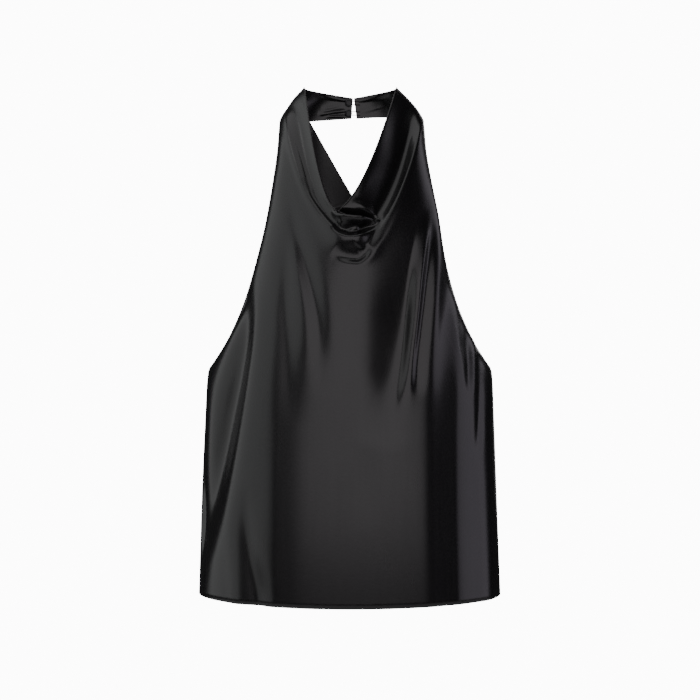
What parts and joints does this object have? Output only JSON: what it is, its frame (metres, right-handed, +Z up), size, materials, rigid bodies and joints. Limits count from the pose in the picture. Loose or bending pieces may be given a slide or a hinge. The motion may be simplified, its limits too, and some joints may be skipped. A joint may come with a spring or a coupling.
{
  "type": "halter neck top",
  "caption": "Sleeveless satin halter top with a draped cowl front, narrow neck band and open back, filled out as worn.",
  "frame": {"origin": "the nape: centre back of the neck, halfway up the inner face of the neck band, where the wearer holds the top up", "axes": "+Z up along the body, -Y out of the front, +X to the right as seen from the front"},
  "size_m": [0.3804, 0.2293, 0.6416],
  "materials": {
    "satin": "black satin with a soft sheen",
    "satin_inside": "the duller wrong side of the satin",
    "button": "glossy black with a light worn rim",
    "loop_cord": "fine black cord"
  },
  "bodies": {
    "root": {"front_panel": "satin", "cowl_facing": "satin_inside", "back_panel": "satin", "neck_band_left": "satin", "neck_band_right": "satin", "button_upper": "button", "button_lower": "button", "loop_upper": "loop_cord", "loop_lower": "loop_cord"}
  },
  "joints": []
}
